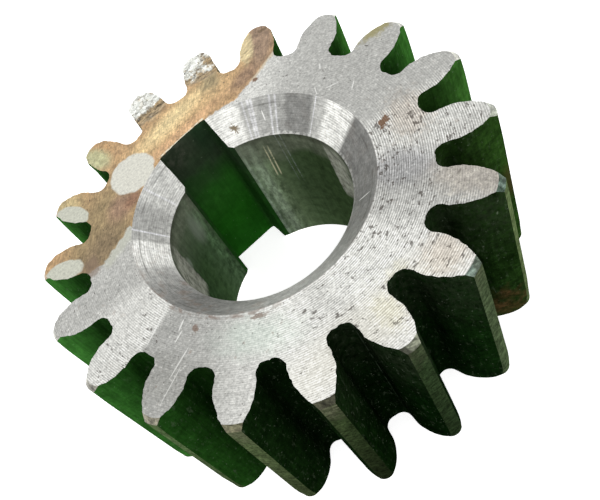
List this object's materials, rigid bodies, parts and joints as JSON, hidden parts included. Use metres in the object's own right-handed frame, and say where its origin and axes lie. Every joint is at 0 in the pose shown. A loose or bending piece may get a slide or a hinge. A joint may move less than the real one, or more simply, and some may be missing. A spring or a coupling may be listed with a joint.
{
  "type": "spur gear",
  "caption": "One-piece steel spur gear with a plain through bore, a deep bore chamfer on one face and a keyway for a parallel key.",
  "frame": {"origin": "on the bore axis at the back face, the one with the small bore chamfer", "axes": "+Z along the bore axis to the front face with the large bore chamfer, +Y from the bore axis through the middle of the keyway"},
  "size_m": [0.0598, 0.0604, 0.0264],
  "materials": {
    "machined_steel": "turned faces with fine feed marks, cut teeth, a brown heat or rust stain on part of the front face"
  },
  "bodies": {
    "root": {"gear": "machined_steel"}
  },
  "joints": []
}
